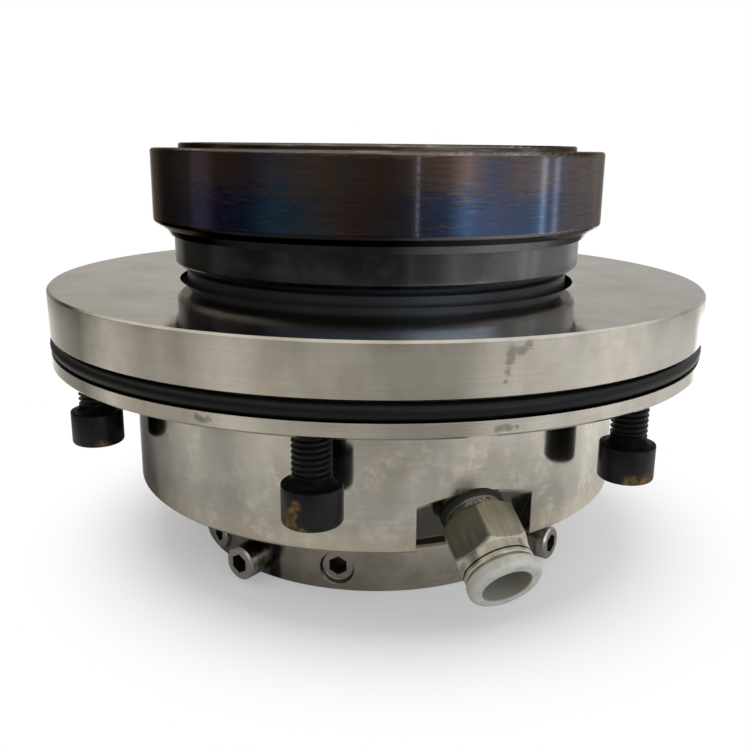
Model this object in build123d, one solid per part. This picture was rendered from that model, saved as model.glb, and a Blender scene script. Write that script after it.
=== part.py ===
"""Cartridge mechanical seal for a slurry pump shaft, standing on its drive collar.

Millimetres. The shaft axis is Z, and heights count up from the drive collar's outer face.
A plan angle turns about Z from the -Y side towards +X, so 0 degrees is the front.
"""

import os
from math import cos, radians, sin, tan

from build123d import *

# ---- Radii, from the shaft outwards: each one builds on the one before ----
SHAFT_RADIUS = 40.0
SLEEVE_WALL = 7.0
COLLAR_WALL = 21.0
THROAT_WIDTH = 6.0  # open ring between the sleeve and the gland's spring web
SPRING_RING_INSET = 13.0  # from the web's bore out to the spring circle
SPRING_RING_MARGIN = 8.2  # from the spring circle out to the seal chamber's wall
NECK_STEP = 1.3  # how much wider the rotary ring is than the chamber's bore
RIM_OVERHANG = 7.15
RIM_TO_LIP = 9.85
HUB_WALL = 17.4
HUB_TO_SCREWS = 14.9
SCREWS_TO_RIM = 13.5

# ---- Heights, stacked up from the collar's outer face ----
COLLAR_HEIGHT = 16.5
COLLAR_GAP = 9.4  # free height between the collar and the gland hub
HUB_HEIGHT = 46.4
FLANGE_THICKNESS = 26.8
FACE_STANDOUT = 5.5  # sealing plane above the flange
FACE_EXPOSED = 11.1  # rotary ring that shows below its holder
CONE_HEIGHT = 5.0
RIM_HEIGHT = 25.0
LIP_HEIGHT = 1.8

# ---- Gland plate ----
CHAMBER_DEPTH = 39.1
BUSH_POCKET_DEPTH = 14.1
O_RING_GROOVE_HEIGHT = 6.4
O_RING_GROOVE_RISE = 4.7  # from the flange's underside up to the groove
FLANGE_CORD = 5.3  # diameter of the flange O-ring's cord
FLANGE_CORD_STANDOUT = 0.25
EDGE_BREAK = 0.7
NOTCH_WIDTH = 40.0
NOTCH_HEIGHT = 18.7
NOTCH_SEAT_RISE = 10.5  # fitting's centre above the hub's lower face
NOTCH_PLAN_ANGLE = 20.3
FITTING_TILT = 30.75
PORT_RADIUS = 3.0
PORT_THREAD_DEPTH = 10.0

# ---- Gland screws, M12 socket head, heads down ----
SCREW_COUNT = 6
SCREW_FIRST_ANGLE = -10.0
SCREW_RADIUS = 5.9
SCREW_LENGTH = 35.0
SCREW_GRIP = 17.5  # bare length between the flange and the head
SCREW_HEAD_RADIUS = 9.0
SCREW_HEAD_HEIGHT = 12.0
SCREW_SOCKET = 10.0  # across flats
SCREW_SOCKET_DEPTH = 6.0
SCREW_END_ROOM = 3.5  # blind hole left beyond the screw's tip
THREAD_FIT = 0.05

# ---- Set screws in the drive collar, M12 cup point ----
SET_SCREW_RADIUS = 5.95
SET_SCREW_SOCKET = 6.0
SET_SCREW_SOCKET_DEPTH = 7.0
SET_SCREW_SINK = 2.0  # clamping screws end this far inside the collar
SET_SCREW_PROUD = 1.4  # and the next four stand this far out
DRIVE_SCREW_PROUD = 11.0
TIP_CLEARANCE = 0.4
CLAMP_FIRST_ANGLE = -11.0
PROUD_FIRST_ANGLE = -56.0
DRIVE_FIRST_ANGLE = -36.0
QUADRANTS = 4

# ---- Rotor ----
SLEEVE_RECESS = 0.5  # sleeve end inside the collar's outer face
SLEEVE_FLANGE_WIDTH = 11.0
SLEEVE_FLANGE_THICKNESS = 6.0
HOLDER_SCREW_RADIUS = 3.0
HOLDER_SCREW_LENGTH = 14.0
HOLDER_HUB_WIDTH = 10.0
HOLDER_HUB_DROP = 9.0  # holder's hub below the rotary ring's seat
RING_SEAT_DEPTH = 15.3
ROTARY_RING_WIDTH = 15.5
LIP_WIDTH = 10.8
RIM_ROUND = 1.2
LIP_ROUND = 0.8
NOSE_HEIGHT = 2.5  # steep band between the rotary ring and the cone
NOSE_FOOT = 1.3
NOSE_TAPER = 1.4
NOSE_LEDGE = 0.6
RING_LEAD = 0.4  # chamfer where the rotary ring goes in
ROTARY_EDGE = 1.5
SLEEVE_CORD = 3.2
SHAFT_CORD = 2.8
IMPELLER_CORD = 3.2
CORD_ROOM = 1.0  # extra width of each hidden O-ring groove

# ---- Stationary seat ----
SEAT_GAP = 2.8  # between the seat ring and the chamber's wall
SEAT_RING_WIDTH = 13.9
SEAT_NOSE_HEIGHT = 2.1
SEAT_NOSE_INSET = 3.8
SEAT_NOSE_WIDTH = 4.5
SEAT_TRAVEL = 2.5
TRAVEL_ROOM = 1.5
CARRIER_FLOOR = 10.0
CARRIER_GRIP = 10.0
SEAT_CORD = 3.6
SLIDE_FIT = 0.3  # curved faces that pass one another
FILM = 0.05  # running film between the two sealing faces

# ---- Springs and pins in the web ----
SPRING_COUNT = 8
SPRING_TURNS = 5
SPRING_WIRE = 1.4
SPRING_COIL_RADIUS = 2.7
SPRING_POCKET_RADIUS = 3.75
WEB_FLOOR = 4.0
PIN_RADIUS = 2.5
PIN_BURIED = 10.0
PIN_REACH = 4.5  # into the carrier, past its lower face

# ---- Throttle bush ----
BUSH_FIT = 0.35
BUSH_WIDTH = 10.0
BUSH_SHOULDER = 3.0
BUSH_NOSE_STEP = 3.0
BUSH_END_GAP = 0.4  # above the collar
CLIP_THICKNESS = 1.8
CLIP_RISE = 1.7  # lower side above the hub's lower face
CLIP_BITE = 2.0
CLIP_OPENING = 24.0  # degrees

# ---- Push-in tube fitting, measured along its axis from the notch floor ----
TUBE_BORE_RADIUS = 7.1
STUB_RADIUS = 6.45
STUB_LENGTH = 9.0
WASHER_THICKNESS = 1.2
WASHER_RADIUS = 10.4
SHOULDER_RADIUS = 8.9
HEX_ACROSS_FLATS = 22.4
HEX_START = 5.0
HEX_END = 18.4
HEX_END_SLOPE = 0.6
HEX_TURN = 24.5
BODY_RADIUS = 11.1
GROOVE_START = 21.4
GROOVE_END = 21.9
GROOVE_DEPTH = 0.6
BODY_END = 23.2
TUBE_STOP = 2.5
SOCKET_LENGTH = 9.5
TUBE_CORD = 2.4
GRIP_THICKNESS = 1.0
BUTTON_WALL = 1.3
BUTTON_GAP = 0.9
BUTTON_TRAVEL = 0.8
BUTTON_LENGTH = 4.4
BUTTON_RADIUS = 11.6
BUTTON_MOUTH = 7.75
BUTTON_ROUND = 1.9
RUNNING_FIT = 0.08
WAY_RADIUS = 5.0

# ---- Worked out from the values above ----
sleeve_r = SHAFT_RADIUS + SLEEVE_WALL
collar_r = sleeve_r + COLLAR_WALL
web_r = sleeve_r + THROAT_WIDTH
spring_ring_r = web_r + SPRING_RING_INSET
chamber_r = spring_ring_r + SPRING_RING_MARGIN
neck_r = chamber_r + NECK_STEP
rim_r = neck_r + RIM_OVERHANG
lip_r = rim_r - RIM_TO_LIP
hub_r = chamber_r + HUB_WALL
screw_ring_r = hub_r + HUB_TO_SCREWS
flange_r = screw_ring_r + SCREWS_TO_RIM

hub_bottom = COLLAR_HEIGHT + COLLAR_GAP
flange_bottom = hub_bottom + HUB_HEIGHT
flange_top = flange_bottom + FLANGE_THICKNESS
seal_plane = flange_top + FACE_STANDOUT
holder_bottom = seal_plane + FACE_EXPOSED
rim_bottom = holder_bottom + CONE_HEIGHT
rim_top = rim_bottom + RIM_HEIGHT
lip_top = rim_top + LIP_HEIGHT
ring_seat = holder_bottom + RING_SEAT_DEPTH
web_top = flange_top - CHAMBER_DEPTH
web_bottom = hub_bottom + BUSH_POCKET_DEPTH
spring_floor = web_bottom + WEB_FLOOR
carrier_bottom = web_top + SEAT_TRAVEL + TRAVEL_ROOM
carrier_top = carrier_bottom + CARRIER_FLOOR
seat_r = chamber_r - SEAT_GAP
bush_r = sleeve_r + BUSH_WIDTH
collar_mid = COLLAR_HEIGHT / 2


# ---- Small helpers ----
def turned(*points):
    """A solid of revolution about Z from its (radius, height) outline."""
    outline = make_face(Polyline(*points, close=True))
    return revolve(Plane.XZ * outline, axis=Axis.Z)


def ring(inner, outer, low, high):
    return turned((inner, low), (outer, low), (outer, high), (inner, high))


def rod(radius, low, high):
    return turned((0, low), (radius, low), (radius, high), (0, high))


def cord_ring(centre_r, height, cord):
    """An O-ring of round cord about Z."""
    section = Plane.XZ * Pos(centre_r, height) * Circle(cord / 2)
    return revolve(section, axis=Axis.Z)


def around(angle, radius, height=0.0):
    """A place at a plan angle, whose X points out from the shaft and Z stays up."""
    return Rot(0, 0, angle - 90) * Pos(radius, 0, height)


def pattern(count, first):
    return [first + turn * 360 / count for turn in range(count)]


def group(solids):
    """Separate solids that share one node."""
    return Compound(children=list(solids))


def rounded_circle(solid, radius, height, size):
    """Rounds the circular edge at this radius and height."""
    edges = [
        edge
        for edge in solid.edges().filter_by(GeomType.CIRCLE)
        if abs(edge.radius - radius) < 1e-4 and abs(edge.arc_center.Z - height) < 1e-4
    ]
    return fillet(edges, size)


def chamfered_circle(solid, radius, height, size):
    edges = [
        edge
        for edge in solid.edges().filter_by(GeomType.CIRCLE)
        if abs(edge.radius - radius) < 1e-4 and abs(edge.arc_center.Z - height) < 1e-4
    ]
    return chamfer(edges, size)


def fitting_frame():
    """A place on the notch floor, whose Z runs out along the tube fitting's axis."""
    floor_r = hub_r - (NOTCH_HEIGHT - NOTCH_SEAT_RISE) * tan(radians(FITTING_TILT))
    return around(NOTCH_PLAN_ANGLE, floor_r, hub_bottom + NOTCH_SEAT_RISE) * Rot(0, 90 + FITTING_TILT, 0)


# ---- Gland, the standing part ----
def gland_plate():
    """Flange and hub turned from one piece, with a stepped bore."""
    plate = turned(
        (bush_r, hub_bottom),
        (hub_r, hub_bottom),
        (hub_r, flange_bottom),
        (flange_r, flange_bottom),
        (flange_r, flange_top),
        (chamber_r, flange_top),
        (chamber_r, web_top),
        (web_r, web_top),
        (web_r, web_bottom),
        (bush_r, web_bottom),
    )
    for radius, height in ((flange_r, flange_top), (flange_r, flange_bottom), (hub_r, hub_bottom)):
        plate = chamfered_circle(plate, radius, height, EDGE_BREAK)
    plate -= flange_groove()
    plate -= clip_groove()
    plate -= fitting_notch()
    plate -= fitting_frame() * Pos(0, 0, -PORT_THREAD_DEPTH) * Cylinder(
        STUB_RADIUS + THREAD_FIT, PORT_THREAD_DEPTH * 2, align=(Align.CENTER, Align.CENTER, Align.MIN)
    )
    plate -= quench_port()
    hole_depth = SCREW_LENGTH - SCREW_GRIP + SCREW_END_ROOM
    screw_hole = Pos(0, 0, hole_depth / 2) * Cylinder(SCREW_RADIUS + THREAD_FIT, hole_depth)
    for angle in pattern(SCREW_COUNT, SCREW_FIRST_ANGLE):
        plate -= around(angle, screw_ring_r, flange_bottom) * screw_hole
    for angle in spring_angles():
        plate -= around(angle, spring_ring_r) * Pos(0, 0, spring_floor) * Cylinder(
            SPRING_POCKET_RADIUS, web_top, align=(Align.CENTER, Align.CENTER, Align.MIN)
        )
    for angle in pin_angles():
        plate -= around(angle, spring_ring_r, web_top - PIN_BURIED / 2) * Cylinder(PIN_RADIUS, PIN_BURIED)
    return plate


def flange_groove():
    low = flange_bottom + O_RING_GROOVE_RISE
    floor_r = flange_r + FLANGE_CORD_STANDOUT - FLANGE_CORD - 2 * THREAD_FIT
    return ring(floor_r, flange_r + EDGE_BREAK, low, low + O_RING_GROOVE_HEIGHT)


def fitting_notch():
    """A parallel-sided notch in the hub, open below, with a sloping floor for the fitting."""
    depth = flange_r
    block = Box(depth, NOTCH_WIDTH, 2 * depth, align=(Align.MIN, Align.CENTER, Align.CENTER))
    sloped = around(NOTCH_PLAN_ANGLE, hub_r, hub_bottom + NOTCH_HEIGHT) * Rot(0, FITTING_TILT, 0) * block
    below = Pos(0, 0, hub_bottom + NOTCH_HEIGHT - flange_r) * Box(
        4 * flange_r, 4 * flange_r, 2 * flange_r
    )
    return sloped & below


def quench_port():
    """The drilled way from the fitting's thread up into the throat behind the seat."""
    reach = (hub_r - web_r) / cos(radians(FITTING_TILT))
    return fitting_frame() * Pos(0, 0, -reach / 2) * Cylinder(PORT_RADIUS, reach)


def clip_groove():
    low = hub_bottom + CLIP_RISE
    return ring(bush_r - THREAD_FIT, bush_r + CLIP_BITE, low, low + CLIP_THICKNESS)


def spring_angles():
    return pattern(SPRING_COUNT, NOTCH_PLAN_ANGLE + 180 / SPRING_COUNT)


def pin_angles():
    return pattern(2, NOTCH_PLAN_ANGLE + 90)


def flange_o_ring():
    low = flange_bottom + O_RING_GROOVE_RISE
    centre_r = flange_r + FLANGE_CORD_STANDOUT - FLANGE_CORD / 2
    return cord_ring(centre_r, low + FLANGE_CORD / 2 + THREAD_FIT, FLANGE_CORD)


def socket_screw():
    """An M12 screw that hangs head down, with its head's bearing face at zero."""
    head = Pos(0, 0, -SCREW_HEAD_HEIGHT / 2) * Cylinder(SCREW_HEAD_RADIUS, SCREW_HEAD_HEIGHT)
    head = chamfered_circle(head, SCREW_HEAD_RADIUS, -SCREW_HEAD_HEIGHT, SCREW_HEAD_RADIUS / 10)
    shank = Pos(0, 0, SCREW_LENGTH / 2) * Cylinder(SCREW_RADIUS, SCREW_LENGTH)
    shank = chamfered_circle(shank, SCREW_RADIUS, SCREW_LENGTH, SCREW_RADIUS / 6)
    socket = extrude(RegularPolygon(SCREW_SOCKET / 2, 6, major_radius=False), SCREW_SOCKET_DEPTH)
    return head + shank - Pos(0, 0, -SCREW_HEAD_HEIGHT) * socket


def gland_screws():
    low = flange_bottom - SCREW_GRIP
    screw = socket_screw()
    angles = pattern(SCREW_COUNT, SCREW_FIRST_ANGLE)
    return group(around(angle, screw_ring_r, low) * screw for angle in angles)


def throttle_bush():
    """A carbon bush that centres the sleeve, with a nose that ends above the collar."""
    inner = sleeve_r + BUSH_FIT
    outer = bush_r - THREAD_FIT
    nose_r = bush_r - BUSH_NOSE_STEP
    step = hub_bottom + CLIP_RISE + CLIP_THICKNESS
    nose_end = COLLAR_HEIGHT + BUSH_END_GAP
    return turned(
        (inner, nose_end),
        (nose_r, nose_end),
        (nose_r, step),
        (outer, step),
        (outer, web_bottom),
        (inner, web_bottom),
    )


def bush_clip():
    """An internal retaining ring with an open gap."""
    low = hub_bottom + CLIP_RISE
    inner = bush_r - BUSH_NOSE_STEP + SLIDE_FIT
    clip = ring(inner, bush_r + CLIP_BITE, low, low + CLIP_THICKNESS)
    side = 2 * (bush_r + CLIP_BITE) * sin(radians(CLIP_OPENING / 2))
    return clip - around(NOTCH_PLAN_ANGLE + 180, bush_r, low) * Box(bush_r, side, 4 * CLIP_THICKNESS)


def coil_spring():
    """A coil with ground ends, from the pocket's floor up to the carrier."""
    height = carrier_bottom - spring_floor
    pitch = height / SPRING_TURNS
    path = Helix(pitch, height - SPRING_WIRE / 2, SPRING_COIL_RADIUS)
    wire = sweep(Plane(path @ 0, z_dir=path % 0) * Circle(SPRING_WIRE / 2), path=path)
    return wire & Pos(0, 0, height / 2) * Cylinder(SPRING_POCKET_RADIUS, height)


def seat_springs():
    spring = coil_spring()
    return group(around(angle, spring_ring_r, spring_floor) * spring for angle in spring_angles())


def seat_pins():
    length = PIN_BURIED + carrier_bottom - web_top + PIN_REACH
    pin = Pos(0, 0, length / 2 - PIN_BURIED) * Cylinder(PIN_RADIUS, length)
    return group(around(angle, spring_ring_r, web_top) * pin for angle in pin_angles())


# ---- Stationary seat, which floats on the springs ----
def seat_carrier():
    inner = web_r + BUSH_SHOULDER
    outer = chamber_r - SLIDE_FIT
    grip = carrier_top + CARRIER_GRIP
    cup = turned(
        (inner, carrier_bottom),
        (outer, carrier_bottom),
        (outer, grip),
        (seat_r, grip),
        (seat_r, carrier_top),
        (inner, carrier_top),
    )
    low = seat_cord_height() - SEAT_CORD / 2 - CORD_ROOM / 2
    cup -= ring(outer - SEAT_CORD, outer + 1, low, low + SEAT_CORD + CORD_ROOM)
    for angle in pin_angles():
        hole = Cylinder(PIN_RADIUS + SLIDE_FIT, 2 * (PIN_REACH + SEAT_TRAVEL + SLIDE_FIT))
        cup -= around(angle, spring_ring_r, carrier_bottom) * hole
    return cup


def seat_cord_height():
    return carrier_bottom + CARRIER_FLOOR / 2


def seat_o_ring():
    return cord_ring(chamber_r - SLIDE_FIT - SEAT_CORD / 2, seat_cord_height(), SEAT_CORD)


def stationary_face():
    """The seat ring, whose narrow nose carries the sealing face."""
    inner = seat_r - SEAT_RING_WIDTH
    nose_r = seat_r - SEAT_NOSE_INSET
    top = seal_plane - FILM
    shoulder = top - SEAT_NOSE_HEIGHT
    body = turned(
        (inner, carrier_top),
        (seat_r, carrier_top),
        (seat_r, shoulder),
        (nose_r, shoulder),
        (nose_r, top),
        (nose_r - SEAT_NOSE_WIDTH, top),
        (nose_r - SEAT_NOSE_WIDTH, shoulder),
        (inner, shoulder),
    )
    return chamfered_circle(body, seat_r, shoulder, EDGE_BREAK / 2)


# ---- Rotor ----
def shaft_sleeve():
    flange_edge = sleeve_r + SLEEVE_FLANGE_WIDTH
    flange_low = rim_top - SLEEVE_FLANGE_THICKNESS
    sleeve = turned(
        (SHAFT_RADIUS, SLEEVE_RECESS),
        (sleeve_r, SLEEVE_RECESS),
        (sleeve_r, flange_low),
        (flange_edge, flange_low),
        (flange_edge, rim_top),
        (SHAFT_RADIUS, rim_top),
    )
    low = shaft_cord_height() - SHAFT_CORD / 2 - CORD_ROOM / 2
    sleeve -= ring(SHAFT_RADIUS - 1, SHAFT_RADIUS + SHAFT_CORD, low, low + SHAFT_CORD + CORD_ROOM)
    hole = Rot(0, 90, 0) * Cylinder(SET_SCREW_RADIUS + THREAD_FIT, 2 * (SLEEVE_WALL + TIP_CLEARANCE))
    for angle in pattern(QUADRANTS, CLAMP_FIRST_ANGLE) + pattern(QUADRANTS, PROUD_FIRST_ANGLE):
        sleeve -= around(angle, SHAFT_RADIUS + SLEEVE_WALL / 2, collar_mid) * hole
    for angle in holder_screw_angles():
        sleeve -= around(angle, holder_screw_ring_r(), rim_top) * screw_seat()
    return sleeve


def holder_screw_angles():
    return pattern(QUADRANTS, 45)


def holder_screw_ring_r():
    return sleeve_r + SLEEVE_FLANGE_WIDTH / 2


def countersunk_outline(extra):
    """Half outline of a countersunk screw below its flush top, grown by a small fit."""
    head_r = 2 * HOLDER_SCREW_RADIUS + extra
    shank_r = HOLDER_SCREW_RADIUS + extra
    cone_end = -HOLDER_SCREW_RADIUS
    tip = -HOLDER_SCREW_LENGTH
    return (0, 0), (head_r, 0), (shank_r, cone_end), (shank_r, tip), (0, tip)


def screw_seat():
    return turned(*countersunk_outline(THREAD_FIT))


def holder_screws():
    screw = turned(*countersunk_outline(0))
    socket = extrude(RegularPolygon(HOLDER_SCREW_RADIUS * 0.6, 6, major_radius=False), -HOLDER_SCREW_RADIUS)
    screw -= socket
    return group(around(angle, holder_screw_ring_r(), rim_top) * screw for angle in holder_screw_angles())


def rotor_holder():
    """The wide ring that holds the rotary face, with a cone below and a lip on top."""
    bore = sleeve_r + THREAD_FIT
    recess_r = sleeve_r + SLEEVE_FLANGE_WIDTH + THREAD_FIT
    recess_low = rim_top - SLEEVE_FLANGE_THICKNESS
    hub_edge = sleeve_r + HOLDER_HUB_WIDTH
    hub_low = ring_seat - HOLDER_HUB_DROP
    nose_r = neck_r + NOSE_FOOT + NOSE_TAPER
    body = turned(
        (bore, hub_low),
        (hub_edge, hub_low),
        (hub_edge, ring_seat),
        (neck_r, ring_seat),
        (neck_r, holder_bottom + RING_LEAD),
        (neck_r + RING_LEAD, holder_bottom),
        (neck_r + NOSE_FOOT, holder_bottom),
        (nose_r, holder_bottom + NOSE_HEIGHT),
        (nose_r + NOSE_LEDGE, holder_bottom + NOSE_HEIGHT),
        (rim_r, rim_bottom),
        (rim_r, rim_top),
        (lip_r, rim_top),
        (lip_r, lip_top),
        (lip_r - LIP_WIDTH, lip_top),
        (lip_r - LIP_WIDTH, rim_top),
        (recess_r, rim_top),
        (recess_r, recess_low),
        (bore, recess_low),
    )
    body = rounded_circle(body, rim_r, rim_top, RIM_ROUND)
    body = rounded_circle(body, rim_r, rim_bottom, RIM_ROUND)
    body = rounded_circle(body, lip_r, lip_top, LIP_ROUND)
    low = sleeve_cord_height() - SLEEVE_CORD / 2 - CORD_ROOM / 2
    body -= ring(sleeve_r, sleeve_r + SLEEVE_CORD + THREAD_FIT, low, low + SLEEVE_CORD + CORD_ROOM)
    middle = impeller_cord_radius()
    half = (IMPELLER_CORD + CORD_ROOM) / 2
    body -= ring(middle - half, middle + half, lip_top - IMPELLER_CORD, lip_top + 1)
    for angle in holder_screw_angles():
        body -= around(angle, holder_screw_ring_r(), rim_top) * screw_seat()
    return body


def sleeve_cord_height():
    return ring_seat - HOLDER_HUB_DROP / 2


def shaft_cord_height():
    return rim_top - 2 * SLEEVE_FLANGE_THICKNESS


def impeller_cord_radius():
    return lip_r - LIP_WIDTH / 2


def holder_o_ring():
    return cord_ring(sleeve_r + THREAD_FIT + SLEEVE_CORD / 2, sleeve_cord_height(), SLEEVE_CORD - THREAD_FIT)


def shaft_o_ring():
    centre_r = SHAFT_RADIUS + SHAFT_CORD / 2 + THREAD_FIT
    return cord_ring(centre_r, shaft_cord_height(), SHAFT_CORD - 2 * THREAD_FIT)


def impeller_o_ring():
    height = lip_top - IMPELLER_CORD / 2 + 2 * THREAD_FIT
    return cord_ring(impeller_cord_radius(), height, IMPELLER_CORD)


def rotary_face():
    inner = neck_r - ROTARY_RING_WIDTH
    face = ring(inner, neck_r - THREAD_FIT, seal_plane, ring_seat)
    return chamfered_circle(face, neck_r - THREAD_FIT, seal_plane, ROTARY_EDGE)


def drive_collar():
    collar = ring(sleeve_r + THREAD_FIT, collar_r, 0, COLLAR_HEIGHT)
    collar = chamfered_circle(collar, collar_r, 0, EDGE_BREAK)
    collar = chamfered_circle(collar, collar_r, COLLAR_HEIGHT, EDGE_BREAK)
    hole = Rot(0, 90, 0) * Cylinder(SET_SCREW_RADIUS + THREAD_FIT, 2 * COLLAR_WALL + SLEEVE_WALL)
    angles = pattern(QUADRANTS, CLAMP_FIRST_ANGLE) + pattern(QUADRANTS, PROUD_FIRST_ANGLE)
    for angle in angles + pattern(QUADRANTS, DRIVE_FIRST_ANGLE):
        collar -= around(angle, collar_r, collar_mid) * hole
    return collar


def set_screw():
    """A cup point screw along X, with its socket end at zero and its tip inwards."""
    length = collar_r - SET_SCREW_SINK - SHAFT_RADIUS - TIP_CLEARANCE
    slope = SET_SCREW_RADIUS / 3
    screw = turned(
        (0, 0),
        (SET_SCREW_RADIUS - slope / 3, 0),
        (SET_SCREW_RADIUS, -slope / 3),
        (SET_SCREW_RADIUS, slope - length),
        (SET_SCREW_RADIUS - slope, -length),
        (SET_SCREW_RADIUS / 2, -length),
        (0, SET_SCREW_RADIUS / 2 - length),
    )
    screw -= extrude(RegularPolygon(SET_SCREW_SOCKET / 2, 6, major_radius=False), -SET_SCREW_SOCKET_DEPTH)
    return Rot(0, 90, 0) * screw


def set_screw_group(first_angle, end_r):
    screw = set_screw()
    return group(around(angle, end_r, collar_mid) * screw for angle in pattern(QUADRANTS, first_angle))


# ---- Push-in tube fitting ----
def on_fitting(shape):
    return fitting_frame() * shape


def hex_prism():
    """The spanner flats, with their two ends turned to a cone."""
    corner_r = HEX_ACROSS_FLATS / 3**0.5
    flat_r = HEX_ACROSS_FLATS / 2
    lead = corner_r - flat_r
    prism = extrude(RegularPolygon(flat_r, 6, major_radius=False), HEX_END + lead - HEX_START)
    prism = Pos(0, 0, HEX_START) * Rot(0, 0, HEX_TURN) * prism
    envelope = turned(
        (0, HEX_START),
        (flat_r, HEX_START),
        (corner_r, HEX_START + lead),
        (corner_r, HEX_END - HEX_END_SLOPE * lead),
        (flat_r - lead / 2, HEX_END + HEX_END_SLOPE * lead / 2),
        (0, HEX_END + HEX_END_SLOPE * lead / 2),
    )
    return prism & envelope


def fitting_body():
    barrel = rod(BODY_RADIUS, HEX_END, BODY_END)
    shoulder = rod(SHOULDER_RADIUS, WASHER_THICKNESS, HEX_START)
    stub = rod(STUB_RADIUS, -STUB_LENGTH, WASHER_THICKNESS)
    body = barrel + hex_prism() + shoulder + stub
    body = chamfered_circle(body, BODY_RADIUS, BODY_END, EDGE_BREAK / 2)
    body -= ring(BODY_RADIUS - GROOVE_DEPTH, BODY_RADIUS + 1, GROOVE_START, GROOVE_END)
    cord_low, grip_low, grip_high = socket_heights()
    body -= turned(
        (0, -STUB_LENGTH - 1),
        (PORT_RADIUS + 1, -STUB_LENGTH - 1),
        (PORT_RADIUS + 1, 0),
        (WAY_RADIUS, TUBE_STOP),
        (TUBE_BORE_RADIUS, TUBE_STOP),
        (TUBE_BORE_RADIUS, cord_low),
        (TUBE_BORE_RADIUS + TUBE_CORD, cord_low),
        (TUBE_BORE_RADIUS + TUBE_CORD, grip_high),
        (button_sleeve_r() + RUNNING_FIT, grip_high),
        (button_sleeve_r() + RUNNING_FIT, BODY_END + 1),
        (0, BODY_END + 1),
    )
    return on_fitting(body)


def socket_heights():
    """Where the tube's O-ring groove starts, and the grip ring's two sides."""
    cord_low = TUBE_STOP + SOCKET_LENGTH
    grip_low = cord_low + TUBE_CORD + 2 * THREAD_FIT
    return cord_low, grip_low, grip_low + GRIP_THICKNESS


def button_sleeve_r():
    return BUTTON_MOUTH + BUTTON_WALL


def fitting_washer():
    return on_fitting(ring(STUB_RADIUS + THREAD_FIT, WASHER_RADIUS, 0, WASHER_THICKNESS))


def tube_o_ring():
    cord_low = socket_heights()[0]
    centre_r = TUBE_BORE_RADIUS + TUBE_CORD / 2
    return on_fitting(cord_ring(centre_r, cord_low + TUBE_CORD / 2 + THREAD_FIT, TUBE_CORD - THREAD_FIT))


def grip_ring():
    low, high = socket_heights()[1:]
    return on_fitting(ring(TUBE_BORE_RADIUS + SLIDE_FIT, TUBE_BORE_RADIUS + TUBE_CORD, low, high))


def release_button():
    """The round release button, whose sleeve runs in the fitting's mouth."""
    low = socket_heights()[2] + BUTTON_GAP
    back = BODY_END + BUTTON_GAP
    front = back + BUTTON_LENGTH
    button = turned(
        (BUTTON_MOUTH, low),
        (button_sleeve_r(), low),
        (button_sleeve_r(), back),
        (BUTTON_RADIUS, back),
        (BUTTON_RADIUS, front),
        (BUTTON_MOUTH, front),
    )
    button = rounded_circle(button, BUTTON_RADIUS, front, BUTTON_ROUND)
    button = rounded_circle(button, BUTTON_RADIUS, back, BUTTON_ROUND / 2)
    button = rounded_circle(button, BUTTON_MOUTH, front, BUTTON_ROUND / 3)
    return on_fitting(button)


NODES = {
    "gland_plate": gland_plate,
    "flange_o_ring": flange_o_ring,
    "gland_screws": gland_screws,
    "throttle_bush": throttle_bush,
    "bush_clip": bush_clip,
    "seat_springs": seat_springs,
    "seat_pins": seat_pins,
    "seat_carrier": seat_carrier,
    "seat_o_ring": seat_o_ring,
    "stationary_face": stationary_face,
    "rotary_face": rotary_face,
    "rotor_holder": rotor_holder,
    "holder_o_ring": holder_o_ring,
    "holder_screws": holder_screws,
    "impeller_o_ring": impeller_o_ring,
    "shaft_sleeve": shaft_sleeve,
    "shaft_o_ring": shaft_o_ring,
    "drive_collar": drive_collar,
    "clamp_screws": lambda: set_screw_group(CLAMP_FIRST_ANGLE, collar_r - SET_SCREW_SINK),
    "proud_screws": lambda: set_screw_group(PROUD_FIRST_ANGLE, collar_r + SET_SCREW_PROUD),
    "drive_screws": lambda: set_screw_group(DRIVE_FIRST_ANGLE, collar_r + DRIVE_SCREW_PROUD),
    "fitting_body": fitting_body,
    "fitting_washer": fitting_washer,
    "tube_o_ring": tube_o_ring,
    "grip_ring": grip_ring,
    "release_button": release_button,
}

os.makedirs("parts", exist_ok=True)
for name, make in NODES.items():
    export_step(make(), f"parts/{name}.step")
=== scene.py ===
"""A cartridge mechanical seal on a pale bench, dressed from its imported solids."""

from math import cos, pi, radians, sin

import bmesh
import bpy
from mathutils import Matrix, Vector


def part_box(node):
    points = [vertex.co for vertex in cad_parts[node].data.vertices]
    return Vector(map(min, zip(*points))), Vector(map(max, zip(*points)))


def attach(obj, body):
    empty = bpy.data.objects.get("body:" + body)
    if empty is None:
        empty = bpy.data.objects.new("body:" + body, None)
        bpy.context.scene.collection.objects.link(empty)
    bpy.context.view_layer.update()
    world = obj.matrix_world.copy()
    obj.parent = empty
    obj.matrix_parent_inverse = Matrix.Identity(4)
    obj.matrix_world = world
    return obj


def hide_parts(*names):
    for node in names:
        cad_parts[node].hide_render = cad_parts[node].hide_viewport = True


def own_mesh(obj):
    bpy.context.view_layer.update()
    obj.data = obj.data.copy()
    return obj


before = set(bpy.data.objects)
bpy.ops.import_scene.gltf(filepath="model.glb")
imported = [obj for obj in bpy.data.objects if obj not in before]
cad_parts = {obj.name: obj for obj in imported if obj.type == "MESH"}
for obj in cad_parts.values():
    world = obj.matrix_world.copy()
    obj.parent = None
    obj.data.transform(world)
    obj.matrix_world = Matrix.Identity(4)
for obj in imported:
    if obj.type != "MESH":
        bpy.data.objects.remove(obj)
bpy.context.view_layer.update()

MM = 0.001


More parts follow.
